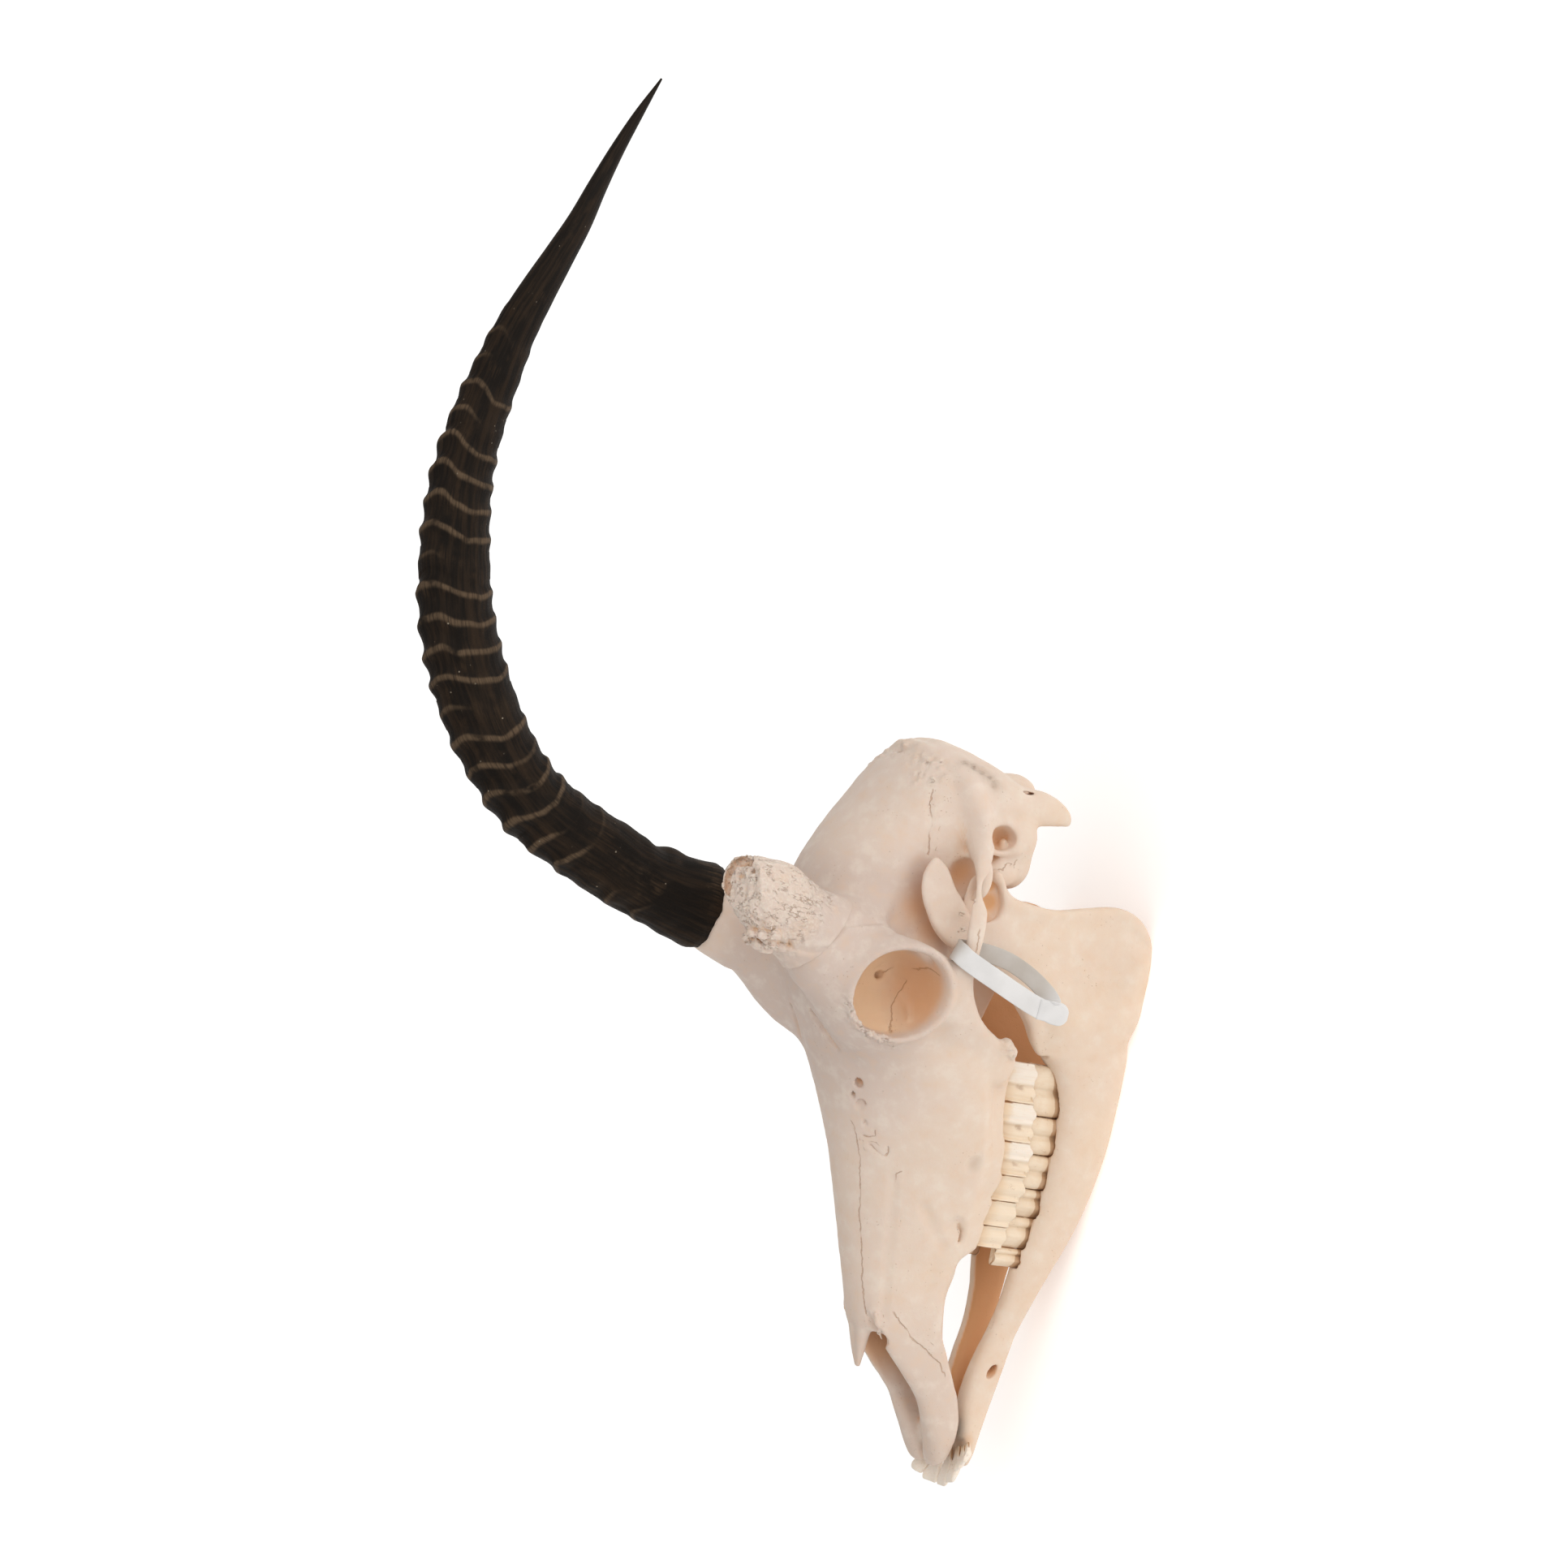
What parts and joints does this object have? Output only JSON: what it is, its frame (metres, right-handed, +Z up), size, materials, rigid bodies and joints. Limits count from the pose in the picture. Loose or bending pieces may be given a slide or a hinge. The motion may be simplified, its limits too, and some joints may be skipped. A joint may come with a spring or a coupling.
{
  "type": "antelope skull",
  "caption": "Antelope skull with lower jaw and teeth, a long ringed horn sweeping back, a broken horn core beside it, and a blank plastic strap tag round the cheek arch.",
  "frame": {"origin": "middle of the bottom of the box round the whole object, on the plane it rests on", "axes": "+Z up out of the forehead, -Y towards the nose, +X towards the animal's left, the side with the broken horn core"},
  "size_m": [0.1638, 0.7418, 0.4293],
  "materials": {
    "bone": "dry matt bone",
    "tooth": "satin enamel",
    "horn": "dull fibrous horn",
    "strap": "satin"
  },
  "bodies": {
    "root": {"cranium": "bone", "left_mandible": "bone", "right_mandible": "bone", "left_upper_molar_3": "tooth", "left_upper_molar_2": "tooth", "left_upper_molar_1": "tooth", "left_upper_premolar_4": "tooth", "left_upper_premolar_3": "tooth", "left_upper_premolar_2": "tooth", "left_lower_molar_3": "tooth", "left_lower_molar_2": "tooth", "left_lower_molar_1": "tooth", "left_lower_premolar_4": "tooth", "left_lower_premolar_3": "tooth", "left_lower_premolar_2": "tooth", "right_upper_molar_3": "tooth", "right_upper_molar_2": "tooth", "right_upper_molar_1": "tooth", "right_upper_premolar_4": "tooth", "right_upper_premolar_3": "tooth", "right_upper_premolar_2": "tooth", "right_lower_molar_3": "tooth", "right_lower_molar_2": "tooth", "right_lower_molar_1": "tooth", "right_lower_premolar_4": "tooth", "right_lower_premolar_3": "tooth", "right_lower_premolar_2": "tooth", "left_incisor_1": "tooth", "left_incisor_2": "tooth", "left_incisor_3": "tooth", "left_incisor_4": "tooth", "right_incisor_1": "tooth", "right_incisor_2": "tooth", "right_incisor_3": "tooth", "right_incisor_4": "tooth", "horn_sheath": "horn", "tag_strap": "strap"}
  },
  "joints": []
}
